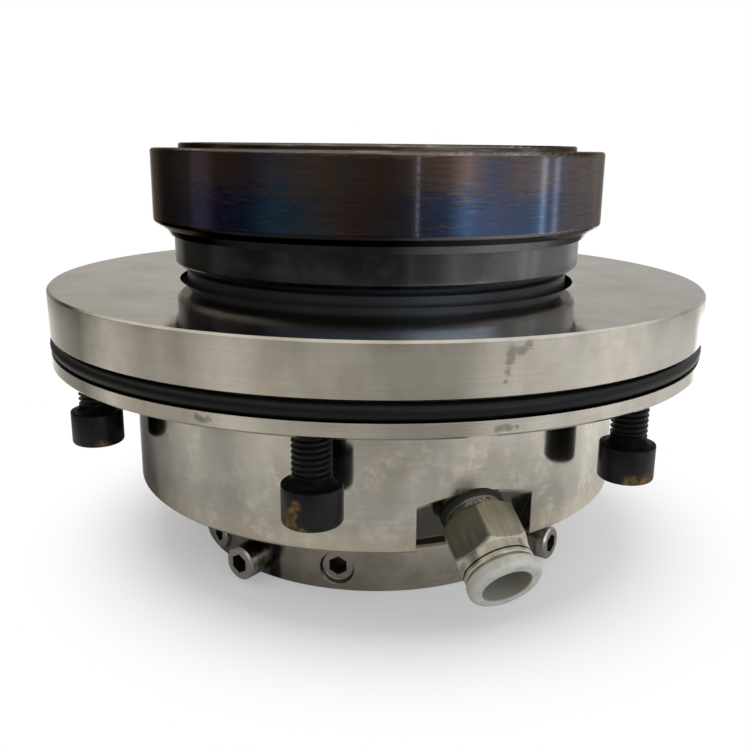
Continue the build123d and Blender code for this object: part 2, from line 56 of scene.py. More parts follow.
# ---- Camera ----
# A moderate lens held a little above the flange, close enough that the seal's
# circles open differently from its top to its foot.
CAMERA_PLACE = (-0.00307, -0.33407, 0.14662)
CAMERA_TURN = (75.233, -0.579, -0.363)
SENSOR_WIDTH = 36.0
LENS_LENGTH = 41.53

camera_lens = bpy.data.cameras.new("camera")
camera_lens.sensor_width = SENSOR_WIDTH
camera_lens.lens = LENS_LENGTH
camera = bpy.data.objects.new("camera", camera_lens)
camera.location = CAMERA_PLACE
camera.rotation_euler = [radians(turn) for turn in CAMERA_TURN]
bpy.context.scene.collection.objects.link(camera)
bpy.context.scene.camera = camera
bpy.context.scene.view_settings.view_transform = "Standard"


# ---- Room ----
# A workshop seen by the polished metal: a broad soft light overhead, pale
# walls behind and to the right, and an unlit side in front and to the left.
class Sketch:
    """A node tree, with short ways to place nodes and join them."""

    def __init__(self, tree):
        self.tree = tree
        tree.nodes.clear()

    def put(self, kind, feeds=None, out=0, **settings):
        """Places a node, feeds its inputs, and gives one of its outputs."""
        node = self.tree.nodes.new(kind if "Node" in kind else "ShaderNode" + kind)
        for name, value in settings.items():
            setattr(node, name, value)
        for name, value in (feeds or {}).items():
            self.feed(node.inputs[name], value)
        return node.outputs[out] if node.outputs else node

    def feed(self, socket, value):
        """Joins an input to an output, or sets it to a plain value."""
        if isinstance(value, bpy.types.NodeSocket):
            self.tree.links.new(value, socket)
        else:
            socket.default_value = value

    def math(self, kind, first, second=0.0, third=0.0):
        feeds = {0: first, 1: second, 2: third}
        return self.put("Math", feeds, operation=kind)

    def scaled(self, value, by, plus):
        return self.math("MULTIPLY_ADD", value, by, plus)

    def sway(self, noise, width):
        """A noise as a shift to either side, over a width."""
        return self.scaled(noise, width, -width / 2)

    def times(self, *values):
        """All the values multiplied together."""
        result = values[0]
        for value in values[1:]:
            result = self.math("MULTIPLY", result, value)
        return result

    def rise(self, value, low, high):
        """0 before low, 1 past high, and a soft step between."""
        feeds = {"Value": value, "From Min": low, "From Max": high}
        return self.put("MapRange", feeds, interpolation_type="SMOOTHSTEP")

    def swing(self, noise, low, high):
        """A noise's usual spread, made to run from low to high."""
        feeds = {"Value": noise, "From Min": 0.3, "From Max": 0.7, "To Min": low, "To Max": high}
        return self.put("MapRange", feeds)

    def noise(self, vector, scale, detail=3.0, roughness=0.55):
        feeds = {"Vector": vector, "Scale": scale, "Detail": detail, "Roughness": roughness}
        return self.put("TexNoise", feeds)

    def vector(self, kind, first, second=(0.0, 0.0, 0.0)):
        return self.put("VectorMath", {0: first, 1: second}, operation=kind)

    def stretched(self, vector, by):
        return self.put("VectorMath", {0: vector, 3: by}, operation="SCALE")

    def measure(self, kind, first, second=(0.0, 0.0, 0.0)):
        """A length, a distance or a dot product."""
        return self.put("VectorMath", {0: first, 1: second}, 1, operation=kind)

    def mix(self, amount, first, second, blend="MIX"):
        feeds = {0: amount, 6: first, 7: second}
        return self.put("Mix", feeds, 2, data_type="RGBA", blend_type=blend)

    def toned(self, colour, pattern):
        """A colour made lighter and darker by a pattern round 1."""
        return self.mix(1.0, colour, pattern, "MULTIPLY")

    def tint(self, amount, colour, by):
        """A colour multiplied by a plain one, as far as amount goes."""
        return self.mix(amount, colour, self.toned(colour, shade(by)))

    def cover(self, amount, colour, over, strength=1.0):
        """A colour with a plain one laid over it, as far as amount goes."""
        return self.mix(self.times(amount, strength), colour, shade(over))

    def ramp(self, value, stops):
        """Colours at places from 0 to 1."""
        socket = self.put("ValToRGB", {0: value})
        band = socket.node.color_ramp
        while len(band.elements) < len(stops):
            band.elements.new(1.0)
        for element, (place, colour) in zip(band.elements, stops):
            element.position = place
        for element, (place, colour) in zip(band.elements, stops):
            element.color = shade(colour)
        return socket

    def bump(self, relief, depth, normal=None):
        """Relief from a pattern, depth millimetres deep."""
        feeds = {"Height": relief, "Distance": depth * MM, "Strength": 1.0}
        if normal:
            feeds["Normal"] = normal
        return self.put("Bump", feeds)

    def surface(self, feeds):
        """Ends a material's tree with one surface shader."""
        self.put("OutputMaterial", {0: self.put("BsdfPrincipled", feeds)})


def shade(colour):
    """A grey level or an RGB colour, as RGBA."""
    if isinstance(colour, (int, float)):
        colour = (colour,) * 3
    return (*colour, 1.0)


def along_turn(stops):
    """Stops given by plan angle, as places on a full turn from the back round the front."""
    return [((angle + 180) / 360, colour) for angle, colour in stops]


# Brightness by plan angle: of the walls, the yard below them and the ceiling
WALLS = [
    (-180, 0.50),
    (-163, 0.50),
    (-150, 0.36),
    (-141, 0.28),
    (-136, 0.12),
    (-131, 0.05),
    (-104, 0.05),
    (-99, 0.12),
    (-90, 0.115),
    (-84, 0.05),
    (-64, 0.045),
    (-50, 0.09),
    (-8, 0.058),
    (5, 0.056),
    (15, 0.08),
    (18, 0.24),
    (21, 0.12),
    (32, 0.17),
    (42, 0.52),
    (49, 0.36),
    (60, 0.30),
    (78, 0.38),
    (83, 0.50),
    (86, 1.35),
    (89, 0.40),
    (92, 0.44),
    (95, 1.25),
    (98, 0.44),
    (126, 0.40),
    (140, 0.66),
    (152, 0.50),
    (180, 0.50),
]
YARD = [
    (-180, 0.60),
    (-164, 1.60),
    (-150, 0.72),
    (-132, 0.44),
    (-115, 0.27),
    (-98, 0.90),
    (-82, 0.50),
    (-62, 0.64),
    (-50, 0.76),
    (-38, 0.70),
    (-22, 0.56),
    (-6, 0.51),
    (4, 0.45),
    (24, 0.43),
    (31, 0.58),
    (36, 0.72),
    (44, 0.88),
    (61, 1.00),
    (68, 0.94),
    (80, 1.20),
    (98, 0.98),
    (114, 0.84),
    (136, 0.72),
    (146, 1.80),
    (168, 2.10),
    (180, 0.54),
]
CEILING = [(-180, 1.10), (-90, 0.95), (0, 1.0), (90, 1.12), (180, 1.10)]
# Colour by plan angle: over the whole room, and of a cool light above the walls
TINT = [
    (-180, (1.0, 0.97, 0.90)),
    (-120, (1.0, 0.96, 0.87)),
    (20, (1.0, 0.965, 0.89)),
    (60, (1.0, 0.985, 0.96)),
    (150, (1.0, 0.99, 0.97)),
    (180, (1.0, 0.97, 0.90)),
]
SHELF = [
    (-180, (0.0, 0.0, 0.0)),
    (-70, (0.0, 0.0, 0.0)),
    (-50, (0.20, 0.26, 0.36)),
    (-5, (0.26, 0.36, 0.52)),
    (10, (0.50, 0.66, 0.95)),
    (28, (1.5, 1.9, 2.5)),
    (60, (1.7, 2.0, 2.5)),
    (75, (0.0, 0.0, 0.0)),
    (180, (0.0, 0.0, 0.0)),
]
# Heights in degrees between which each one takes over from the walls
YARD_RISE = (-8.6, -11.0)
SHELF_RISE = (4.0, 7.0)
CEILING_RISE = (17.0, 34.0)

world = bpy.data.worlds.new("room")
world.use_nodes = True
bpy.context.scene.world = world
room = Sketch(world.node_tree)
gaze = room.put("TexCoord")
east, north, up = room.put("SeparateXYZ", {0: gaze}).node.outputs
bearing = room.math("ARCTAN2", east, room.times(north, -1.0))
turn = room.scaled(bearing, 0.5 / pi, 0.5)
height = room.times(room.math("ARCSINE", up), 180 / pi)
walls = room.ramp(turn, along_turn(WALLS))
yard = room.ramp(turn, along_turn(YARD))
ceiling = room.ramp(turn, along_turn(CEILING))
light = room.mix(room.rise(height, *YARD_RISE), walls, yard)
shelf = room.ramp(turn, along_turn(SHELF))
shelf = room.mix(room.rise(height, *SHELF_RISE), shade(0.0), shelf)
light = room.mix(1.0, light, shelf, "LIGHTEN")
light = room.mix(room.rise(height, *CEILING_RISE), light, ceiling)
light = room.toned(light, room.ramp(turn, along_turn(TINT)))
seen = room.put("LightPath")
lit = room.put("Background", {"Color": light, "Strength": 1.0})
blank = room.put("Background", {"Color": shade(1.0), "Strength": 1.0})
surround = room.put("MixShader", {0: seen, 1: lit, 2: blank})
room.put("OutputWorld", {0: surround})


# ---- Bench ----
# A plain pale top that the drive collar stands on. It runs out to nothing, so
# that only the soft shadow shows.
BENCH_RADIUS = 3.0
BENCH_SHADE = 0.66
BENCH_TONE = (0.955, 0.965, 1.0)
BENCH_MIDDLE = (0.008, 0.0, 0.0)
BENCH_FADE = (0.060, 0.146)
BENCH_GLINT = (0.16, 0.36)
BENCH_LIFT = 0.30  # how far the shadow is thinned
BENCH_SIDES = 96


def as_piece(form, name):
    """Ends a form, and puts it in the scene as an object with that name."""
    mesh = bpy.data.meshes.new(name)
    form.to_mesh(mesh)
    form.free()
    piece = bpy.data.objects.new(name, mesh)
    bpy.context.scene.collection.objects.link(piece)
    return piece


def material(name):
    """A new material, and the sketch of its node tree."""
    made = bpy.data.materials.new(name)
    made.use_nodes = True
    return made, Sketch(made.node_tree)


def bench_finish():
    """Plain to the eye near the seal and white beyond; gone from far reflections."""
    made, sketch = material("bench")
    place = sketch.put("TexCoord", out=3)
    reach = sketch.measure("DISTANCE", place, BENCH_MIDDLE)
    path = sketch.put("LightPath").node.outputs
    by_eye = path["Is Camera Ray"]
    by_gloss = path["Is Glossy Ray"]
    colour = sketch.mix(by_eye, shade(BENCH_SHADE), shade(BENCH_TONE))
    top = sketch.put("BsdfDiffuse", {"Color": colour})
    white = sketch.put("Emission", {"Color": shade(1.0), "Strength": 1.0})
    clear = sketch.put("BsdfTransparent")
    far = sketch.math("MAXIMUM", sketch.rise(reach, *BENCH_FADE), BENCH_LIFT)
    top = sketch.put("MixShader", {0: sketch.times(far, by_eye), 1: top, 2: white})
    gone = sketch.times(sketch.rise(reach, *BENCH_GLINT), by_gloss)
    top = sketch.put("MixShader", {0: gone, 1: top, 2: clear})
    sketch.put("OutputMaterial", {0: top})
    return made


def bench_top():
    form = bmesh.new()
    bmesh.ops.create_circle(form, cap_ends=True, segments=BENCH_SIDES, radius=BENCH_RADIUS)
    bench = as_piece(form, "bench")
    bench.data.materials.append(bench_finish())


bench_top()


# ---- Gland plate ----
# The standing part, bolted to the pump's casing: a thick flange and hub turned
# from one stainless billet and polished, with handling stains and fine rings.
GLAND_COLOUR = (0.585, 0.555, 0.50)
GLAND_WARM = (0.50, 0.46, 0.395)
GLAND_STAIN = (0.30, 0.25, 0.19)
GLAND_RUBBED = (0.17, 0.16, 0.14)
GLAND_MILKY = (0.72, 0.67, 0.60)
RIM_DULL = 0.92
HUB_FOOT = (1.2, 1.15, 1.06)
NOTCH_SHADE = (0.15, 0.14, 0.12)
NOTCH_WALL_SHADE = 0.075
SMEAR = (0.15, 0.145, 0.13)
STEEL_ANISOTROPY = 0.7
EDGE_WEAR = 0.24

# Where parts of the surface start and are fully there, as radii
HUB_SIDE = (93.0, 91.7)
RIM_SIDE = (118.5, 119.5)
RUBBED_SIDE = (114.0, 115.0)
NOTCH_FRONT = (91.3, 90.6)
NOTCH_BACK = (72.0, 74.0)
# and as heights
HUB_LEVELS = (79.0, 75.0)
FOOT_LEVELS = (35.0, 28.0)
NOTCH_FOOT = (26.0, 26.3)
NOTCH_HEAD = (66.0, 65.0)
FLANGE_FACE = (97.9, 98.9)
# and as plan angles
NOTCH_WALL = (30.0, 32.0)


class Turned:
    """Places on a piece turned about Z, in millimetres, for its finish."""

    def __init__(self, sketch):
        self.sketch = sketch
        spot = sketch.put("TexCoord", out=3)
        self.spot = sketch.stretched(spot, 1 / MM)
        self.x, self.y, self.height = sketch.put("SeparateXYZ", {0: self.spot}).node.outputs
        flat = sketch.put("CombineXYZ", {0: self.x, 1: self.y})
        self.radius = sketch.measure("LENGTH", flat)
        self.outward = sketch.vector("NORMALIZE", flat)
        self.run = sketch.math("ADD", self.radius, self.height)

    def angle(self):
        """Plan angle in degrees, 0 at the front and growing to the right."""
        behind = self.sketch.times(self.y, -1.0)
        turn = self.sketch.math("ARCTAN2", self.x, behind)
        return self.sketch.times(turn, 180 / pi)

    def past_radius(self, start, end):
        return self.sketch.rise(self.radius, start, end)

    def past_height(self, start, end):
        return self.sketch.rise(self.height, start, end)

    def by_angle(self, stops, shift=0.0):
        """Colours given by plan angle, shifted by some degrees, that meet at the back."""
        place = self.sketch.math("ADD", self.angle(), shift)
        place = self.sketch.scaled(place, 1 / 360, 0.5)
        place = self.sketch.math("WRAP", place, 1.0, 0.0)
        return self.sketch.ramp(place, along_turn(stops))

    def grain(self, scale, detail=3.0, roughness=0.55):
        return self.sketch.noise(self.spot, scale, detail, roughness)

    def patches(self, scale, low, high, detail=4.0, roughness=0.55):
        """Patches of noise: the lower the step, the more they cover."""
        return self.sketch.rise(self.grain(scale, detail, roughness), low, high)

    def rings(self, fineness, round_the_turn, detail=2.0):
        """Noise drawn out along the tool's path."""
        sketch = self.sketch
        way = sketch.stretched(self.outward, round_the_turn)
        across = sketch.put("CombineXYZ", {2: sketch.times(self.run, fineness)})
        return sketch.noise(sketch.vector("ADD", way, across), 1.0, detail)

    def near(self, centre, reach, ragged, grain):
        """1 at a spot on the piece and 0 beyond its reach, with a ragged edge."""
        sketch = self.sketch
        gap = sketch.measure("DISTANCE", self.spot, centre)
        rough_edge = sketch.sway(self.grain(grain, detail=4.0, roughness=0.65), ragged)
        return sketch.rise(sketch.math("ADD", gap, rough_edge), reach, reach * 0.45)


def metal(
    sketch,
    colour,
    roughness,
    relief=None,
    depth=0.0,
    anisotropy=0.0,
    edge_tint=None,
    worn_edge=0.0,
    bare=1.0,
):
    """A bare metal surface; anisotropy is for faces left with rings by a lathe."""
    feeds = {"Base Color": colour, "Roughness": roughness, "Metallic": bare}
    if depth:
        worn = None
        if worn_edge:
            worn = sketch.put("Bevel", {"Radius": worn_edge * MM}, samples=4)
        feeds["Normal"] = sketch.bump(relief, depth, worn)
    if anisotropy:
        feeds["Anisotropic"] = anisotropy
        feeds["Anisotropic Rotation"] = 0.25
        feeds["Tangent"] = sketch.put("Tangent", direction_type="RADIAL", axis="Z")
    if edge_tint:
        feeds["Specular Tint"] = edge_tint
    sketch.surface(feeds)


RUBBED_SPOTS = [
    ((34.8, -114.9, 95.8), 3.4),
    ((34.0, -115.1, 93.0), 2.8),
    ((33.6, -115.2, 90.0), 2.0),
    ((33.2, -115.3, 87.4), 1.4),
    ((39.2, -113.4, 97.0), 2.6),
    ((37.4, -114.0, 95.4), 2.2),
    ((-49.4, -109.3, 75.2), 2.2),
    ((-47.8, -110.0, 74.6), 2.0),
    ((-46.0, -110.8, 75.0), 1.8),
    ((31.6, -115.8, 74.4), 2.0),
    ((33.4, -115.3, 74.9), 2.2),
    ((35.2, -114.7, 74.6), 2.0),
    ((37.2, -114.1, 74.6), 1.5),
]
RUB_GRAIN = (0.9, 0.9, 1.5)
TOP_STAINS = [
    ((-82.0, -48.0, 99.1), 11.0),
    ((-92.0, 10.0, 99.1), 12.0),
    ((81.0, -31.0, 99.1), 12.0),
]
SMEARED = ((27.5, -87.4, 46.0), 8.0)
COLUMNS = (0.06, 0.06, 0.022)
# Painted light and shade on the hub, by plan angle: darker to the left and lighter to the right.
# It also tints the hub's edge reflections.
HUB_PAINTED_LIGHT = [
    (-180, 1.0),
    (-90, 0.40),
    (-68, 0.34),
    (-60, 0.42),
    (-54, 0.62),
    (-46, 0.78),
    (-40, 0.84),
    (-34, 0.86),
    (-30, 0.82),
    (-20, 0.96),
    (-6, 0.90),
    (0, 0.94),
    (7, 0.84),
    (14, 0.84),
    (20, 0.94),
    (26, 0.92),
    (32, 0.88),
    (40, 1.04),
    (44, 1.30),
    (52, 1.5),
    (66, 1.42),
    (90, 1.2),
    (180, 1.0),
]


def gland_finish():
    """Polished and milky, with painted light and shade round the hub, rub marks, stains and
    painted shade in the notch.
    """
    made, sketch = material("polished_gland")
    turned = Turned(sketch)
    fine = turned.rings(4.0, round_the_turn=2.5)
    broad = turned.rings(0.30, round_the_turn=1.0)
    blotch = turned.patches(0.06, 0.42, 0.62)
    colour = sketch.cover(blotch, shade(GLAND_COLOUR), GLAND_WARM, strength=0.6)

    hub = sketch.times(turned.past_radius(*HUB_SIDE), turned.past_height(*HUB_LEVELS))
    milky = turned.patches(0.10, 0.46, 0.62, detail=3.0)
    mottle = turned.patches(0.32, 0.44, 0.60, roughness=0.65)
    milky = sketch.times(milky, sketch.scaled(mottle, 0.75, 0.25), hub)
    colour = sketch.cover(milky, colour, GLAND_MILKY)
    column = sketch.vector("MULTIPLY", turned.spot, COLUMNS)
    column = sketch.noise(column, 1.0, detail=3.0, roughness=0.5)
    colour = sketch.toned(colour, sketch.swing(column, 0.86, 1.12))
    # tone is painted light and shade on the hub, by plan angle
    tone = turned.by_angle(HUB_PAINTED_LIGHT, sketch.sway(column, 9.0))
    tone = sketch.mix(hub, shade(1.0), tone)
    colour = sketch.toned(colour, tone)
    foot = sketch.times(hub, turned.past_height(*FOOT_LEVELS))
    colour = sketch.tint(foot, colour, HUB_FOOT)
    colour = sketch.tint(turned.past_radius(*RIM_SIDE), colour, RIM_DULL)

    rubbed = 0.0
    for centre, reach in RUBBED_SPOTS:
        gap = sketch.measure("DISTANCE", turned.spot, centre)
        rubbed = sketch.math("ADD", rubbed, sketch.rise(gap, reach, 0.0))
    fretted = sketch.vector("MULTIPLY", turned.spot, RUB_GRAIN)
    fretted = sketch.sway(sketch.noise(fretted, 1.0, detail=4.0, roughness=0.7), 2.0)
    rubbed = sketch.rise(sketch.math("ADD", rubbed, fretted), 0.2, 1.1)
    rubbed = sketch.times(rubbed, turned.past_radius(*RUBBED_SIDE))
    stained = 0.0
    for centre, reach in TOP_STAINS:
        stain = turned.near(centre, reach, ragged=9.0, grain=0.12)
        stained = sketch.math("MAXIMUM", stained, stain)
    smeared = sketch.measure("DISTANCE", turned.spot, SMEARED[0])
    smeared = sketch.scaled(turned.grain(0.3), 3.0, smeared)
    smeared = sketch.rise(smeared, SMEARED[1], 2.0)
    colour = sketch.cover(rubbed, colour, GLAND_RUBBED, strength=0.62)
    colour = sketch.cover(stained, colour, GLAND_STAIN, strength=0.30)
    colour = sketch.cover(smeared, colour, SMEAR, strength=0.75)
    colour = sketch.toned(colour, sketch.swing(fine, 0.94, 1.04))

    sunk = sketch.times(turned.past_radius(*NOTCH_FRONT), turned.past_radius(*NOTCH_BACK))
    sunk = sketch.times(sunk, turned.past_height(*NOTCH_FOOT), turned.past_height(*NOTCH_HEAD))
    wall = sketch.rise(turned.angle(), *NOTCH_WALL)
    shadow = sketch.cover(wall, shade(NOTCH_SHADE), NOTCH_WALL_SHADE)
    colour = sketch.mix(sketch.times(sunk, 0.88), colour, shadow)

    roughness = sketch.scaled(turned.past_height(*FLANGE_FACE), -0.04, 0.09)
    roughness = sketch.scaled(broad, 0.05, roughness)
    roughness = sketch.scaled(blotch, 0.02, roughness)
    roughness = sketch.scaled(sketch.math("MAXIMUM", rubbed, stained), 0.14, roughness)
    metal(sketch, colour, roughness, fine, 0.0008, STEEL_ANISOTROPY, tone, EDGE_WEAR)
    return made


def dress(node, finish):
    """Gives a solid of the frame its finish."""
    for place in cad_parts[node].material_slots:
        place.material = finish


dress("gland_plate", gland_finish())


# ---- Flange O-ring ----
# A soft black nitrile cord that sits in the flange's groove and stands a
# little proud of it.
RUBBER = 0.006
RUBBER_DUSTY = (0.012, 0.012, 0.011)
RUBBER_GLOSS = 0.2
SEALS = (
    "flange_o_ring",
    "seat_o_ring",
    "holder_o_ring",
    "shaft_o_ring",
    "impeller_o_ring",
    "tube_o_ring",
)


def rubber_finish():
    """Satin black, with a little pale dust."""
    made, sketch = material("nitrile_rubber")
    turned = Turned(sketch)
    skin = turned.grain(1.6)
    dust = turned.patches(0.12, 0.5, 0.75, detail=5.0, roughness=0.7)
    feeds = {
        "Base Color": sketch.cover(dust, shade(RUBBER), RUBBER_DUSTY, strength=0.5),
        "Roughness": sketch.scaled(skin, 0.14, 0.30),
        "Normal": sketch.bump(skin, depth=0.02),
        "Specular IOR Level": RUBBER_GLOSS,
    }
    sketch.surface(feeds)
    return made


rubber = rubber_finish()
for seal in SEALS:
    dress(seal, rubber)


# ---- Gland screws ----
# Six M12 socket head cap screws, black oxide, put in from below with their
# heads down and left loose, so that their threads show. Rust has begun.
SCREW_COUNT = 6
SCREW_FIRST_ANGLE = -10.0
SCREW_RING = 106.5
HEAD_LOW = 42.8
HEAD_HIGH = 54.8
SCREW_TIP = 89.8
HEAD_RADIUS = 9.0
HEAD_ROUND = 1.1
SOCKET_FLATS = 10.0
SOCKET_DEPTH = 6.0
THREAD_ROOT = 5.0
THREAD_CREST = 5.93
THREAD_PITCH = 1.75
THREAD_START = 2.6  # above the head
THREAD_TURNS = 9.4
RIDGE_FOOT = 0.49  # half widths of the thread's ridge, as shares of the pitch
RIDGE_LAND = 0.07
RIDGE_BURIED = 0.25  # how far it goes into the shank, as a share of its depth
OXIDE = (0.004, 0.0045, 0.0042)
OXIDE_WORN = (0.011, 0.012, 0.011)
RUST_THIN = (0.21, 0.13, 0.035)
RUST_THICK = (0.10, 0.055, 0.02)
RUST_SPOTS = [
    ((-22.4, -112.9, 50.6), 2.2),
    ((-23.4, -112.2, 48.2), 2.4),
    ((-25.2, -111.3, 46.4), 3.4),
    ((-24.2, -111.9, 44.0), 3.0),
    ((-20.6, -113.2, 43.4), 1.8),
    ((86.0, -76.0, 43.0), 5.0),
    ((81.0, -77.5, 43.0), 4.5),
    ((-97.0, -43.0, 43.0), 4.0),
]


def walls(form, loops):
    """Faces from each loop of corners to the next."""
    sides = len(loops[0])
    for lower, upper in zip(loops, loops[1:]):
        for side in range(sides):
            after = (side + 1) % sides
            form.faces.new((lower[side], lower[after], upper[after], upper[side]))


def lathe(name, rings, sides=48):
    """A closed solid about Z from rings of (radius, height, corners), 0 corners being round."""
    form = bmesh.new()
    loops = []
    for radius, height, corners in rings:
        loop = []
        for side in range(sides):
            angle = 2 * pi * side / sides
            reach = radius
            if corners:
                part = 2 * pi / corners
                reach = radius / cos((angle + part / 2) % part - part / 2)
            place = (reach * cos(angle) * MM, reach * sin(angle) * MM, height * MM)
            loop.append(form.verts.new(place))
        loops.append(loop)
    walls(form, loops)
    for loop, end in ((loops[0], rings[0]), (loops[-1], rings[-1])):
        pole = form.verts.new((0, 0, end[1] * MM))
        for side in range(sides):
            form.faces.new((loop[side], loop[(side + 1) % sides], pole))
    bmesh.ops.recalc_face_normals(form, faces=form.faces)
    return as_piece(form, name)


def cap_screw():
    """Outline from the socket's floor, out over the end face and up to the shank."""
    wall = SOCKET_FLATS / 2
    rings = [(wall - 0.4, SOCKET_DEPTH, 6), (wall, SOCKET_DEPTH - 0.3, 6)]
    rings += [(wall, 0.7, 6), (wall + 0.75, 0.0, 0)]
    for step in range(6):
        angle = pi / 2 * step / 5
        radius = HEAD_RADIUS - HEAD_ROUND + HEAD_ROUND * sin(angle)
        rings.append((radius, HEAD_ROUND - HEAD_ROUND * cos(angle), 0))
    top = HEAD_HIGH - HEAD_LOW
    rings += [
        (HEAD_RADIUS, top - 0.5, 0),
        (HEAD_RADIUS - 0.12, top - 0.16, 0),
        (HEAD_RADIUS - 0.5, top, 0),
        (THREAD_CREST + 1.3, top, 0),
        (THREAD_CREST + 0.8, top + 0.3, 0),
        (THREAD_CREST + 0.3, top + 1.0, 0),
        (THREAD_CREST - 0.05, top + 2.0, 0),
        (THREAD_CREST - 0.15, top + 2.8, 0),
        (THREAD_ROOT, top + 3.4, 0),
        (THREAD_ROOT, SCREW_TIP - HEAD_LOW, 0),
    ]
    return lathe("cap_screw", rings)


def screw_tree():
    """Winds a thread on one screw and sets copies of it round a ring."""
    tree = bpy.data.node_groups.new("screw_ring", "GeometryNodeTree")
    face = tree.interface
    face.new_socket("Mesh", in_out="OUTPUT", socket_type="NodeSocketGeometry")
    face.new_socket("Screw", in_out="INPUT", socket_type="NodeSocketGeometry")
    sizes = ("Pitch", "Root", "Crest", "Start", "Turns", "Ring", "First angle", "Tilt", "Lift")
    for name in sizes:
        face.new_socket(name, in_out="INPUT", socket_type="NodeSocketFloat")
    face.new_socket("Count", in_out="INPUT", socket_type="NodeSocketInt")
    face.new_socket("Finish", in_out="INPUT", socket_type="NodeSocketMaterial")
    sketch = Sketch(tree)
    given = sketch.put("NodeGroupInput").node.outputs

    helix = sketch.put(
        "GeometryNodeCurveSpiral",
        {
            "Resolution": 32,
            "Rotations": given["Turns"],
            "Start Radius": given["Root"],
            "End Radius": given["Root"],
            "Height": sketch.times(given["Pitch"], given["Turns"]),
            "Reverse": True,
        },
    )
    helix = sketch.put("GeometryNodeSetCurveNormal", {0: helix}, mode="Z_UP")
    depth = sketch.math("SUBTRACT", given["Crest"], given["Root"])
    root = sketch.times(depth, -RIDGE_BURIED)
    foot = sketch.times(given["Pitch"], RIDGE_FOOT)
    land = sketch.times(given["Pitch"], RIDGE_LAND)
    corners = ((root, foot, 1), (root, foot, -1), (depth, land, -1), (depth, land, 1))
    feeds = {}
    for place, (across, along, side) in enumerate(corners, start=7):
        feeds[place] = sketch.put("CombineXYZ", {0: across, 1: sketch.times(along, side)})
    ridge = sketch.put("GeometryNodeCurvePrimitiveQuadrilateral", feeds, mode="POINTS")
    thread = sketch.put("GeometryNodeCurveToMesh", {0: helix, 1: ridge, "Fill Caps": True})
    start = sketch.put("CombineXYZ", {2: given["Start"]})
    thread = sketch.put("GeometryNodeTransform", {0: thread, "Translation": start})
    screw = sketch.put("GeometryNodeJoinGeometry", {0: given["Screw"]})
    sketch.feed(screw.node.inputs[0], thread)

    step = sketch.math("DIVIDE", 2 * pi, given["Count"])
    index = sketch.put("GeometryNodeInputIndex")
    angle = sketch.scaled(index, step, given["First angle"])
    east = sketch.times(sketch.math("COSINE", angle), given["Ring"])
    north = sketch.times(sketch.math("SINE", angle), given["Ring"])
    place = sketch.put("CombineXYZ", {0: east, 1: north, 2: given["Lift"]})
    points = sketch.put("GeometryNodePoints", {"Count": given["Count"], "Position": place})
    turn = sketch.put("CombineXYZ", {1: given["Tilt"], 2: angle})
    feeds = {"Points": points, "Instance": screw, "Rotation": turn}
    screws = sketch.put("GeometryNodeInstanceOnPoints", feeds)
    screws = sketch.put("GeometryNodeRealizeInstances", {0: screws})
    screws = sketch.put("GeometryNodeSetMaterial", {0: screws, "Material": given["Finish"]})
    sketch.put("NodeGroupOutput", {0: screws})
    return tree


def applied(piece):
    """The piece, with what its modifiers make as its plain mesh."""
    bpy.context.view_layer.update()
    shown = piece.evaluated_get(bpy.context.evaluated_depsgraph_get())
    mesh = bpy.data.meshes.new_from_object(shown)
    piece.modifiers.clear()
    piece.data = mesh
    return piece


def baked(piece, tree, sizes):
    """The plain mesh that a tree makes of a piece, under the piece's own name."""
    modifier = piece.modifiers.new(tree.name, "NODES")
    modifier.node_group = tree
    for socket in tree.interface.items_tree:
        if socket.in_out == "INPUT" and socket.name in sizes:
            modifier[socket.identifier] = sizes[socket.name]
    return smooth(applied(piece))


def smooth(piece, crease=32.0):
    """Shades a piece smooth, but keeps its corners sharp."""
    piece.data.shade_smooth()
    piece.data.set_sharp_from_angle(angle=radians(crease))
    return piece


def oxide_finish():
    """Black oxide, greyer where it is rubbed, with ochre rust low on some heads."""
    made, sketch = material("black_oxide")
    turned = Turned(sketch)
    worn = turned.patches(0.5, 0.45, 0.75, detail=5.0, roughness=0.65)
    colour = sketch.cover(worn, shade(OXIDE), OXIDE_WORN)
    patch = 0.0
    for centre, reach in RUST_SPOTS:
        spot = turned.near(centre, reach, ragged=2.6, grain=0.3)
        patch = sketch.math("MAXIMUM", patch, spot)
    grit = turned.patches(0.4, 0.30, 0.66, roughness=0.6)
    rust = sketch.cover(grit, shade(RUST_THICK), RUST_THIN)
    thick = sketch.times(patch, sketch.scaled(grit, 0.5, 0.45))
    colour = sketch.mix(thick, colour, rust)
    shoulder = turned.past_height(HEAD_HIGH - 0.7, HEAD_HIGH - 0.3)
    shoulder = sketch.times(shoulder, turned.past_height(HEAD_HIGH + 4.0, HEAD_HIGH + 2.0))
    skin = turned.grain(2.2)
    roughness = sketch.scaled(skin, 0.18, 0.24)
    feeds = {
        "Base Color": colour,
        "Roughness": sketch.scaled(patch, 0.35, roughness),
        "Normal": sketch.bump(skin, depth=0.03),
        "Specular IOR Level": sketch.scaled(shoulder, -0.28, 0.30),
    }
    sketch.surface(feeds)
    return made


screw_ring = screw_tree()
oxide = oxide_finish()
gland_screws = baked(
    cap_screw(),
    screw_ring,
    {
        "Pitch": THREAD_PITCH * MM,
        "Root": THREAD_ROOT * MM,
        "Crest": THREAD_CREST * MM,
        "Start": (HEAD_HIGH - HEAD_LOW + THREAD_START) * MM,
        "Turns": THREAD_TURNS,
        "Ring": SCREW_RING * MM,
        "First angle": radians(SCREW_FIRST_ANGLE - 90),
        "Tilt": 0.0,
        "Lift": HEAD_LOW * MM,
        "Count": SCREW_COUNT,
        "Finish": oxide,
    },
)
gland_screws.name = "threaded_gland_screws"
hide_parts("gland_screws")
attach(gland_screws, "gland")


# ---- Throttle bush and its clip ----
# A carbon ring in the hub's mouth that guides the sleeve and holds the quench
# back, kept in by a spring steel ring that snaps into a groove.
CARBON = (0.012, 0.012, 0.013)
CARBON_PALE = (0.024, 0.024, 0.025)
SPRING_STEEL = (0.45, 0.44, 0.42)


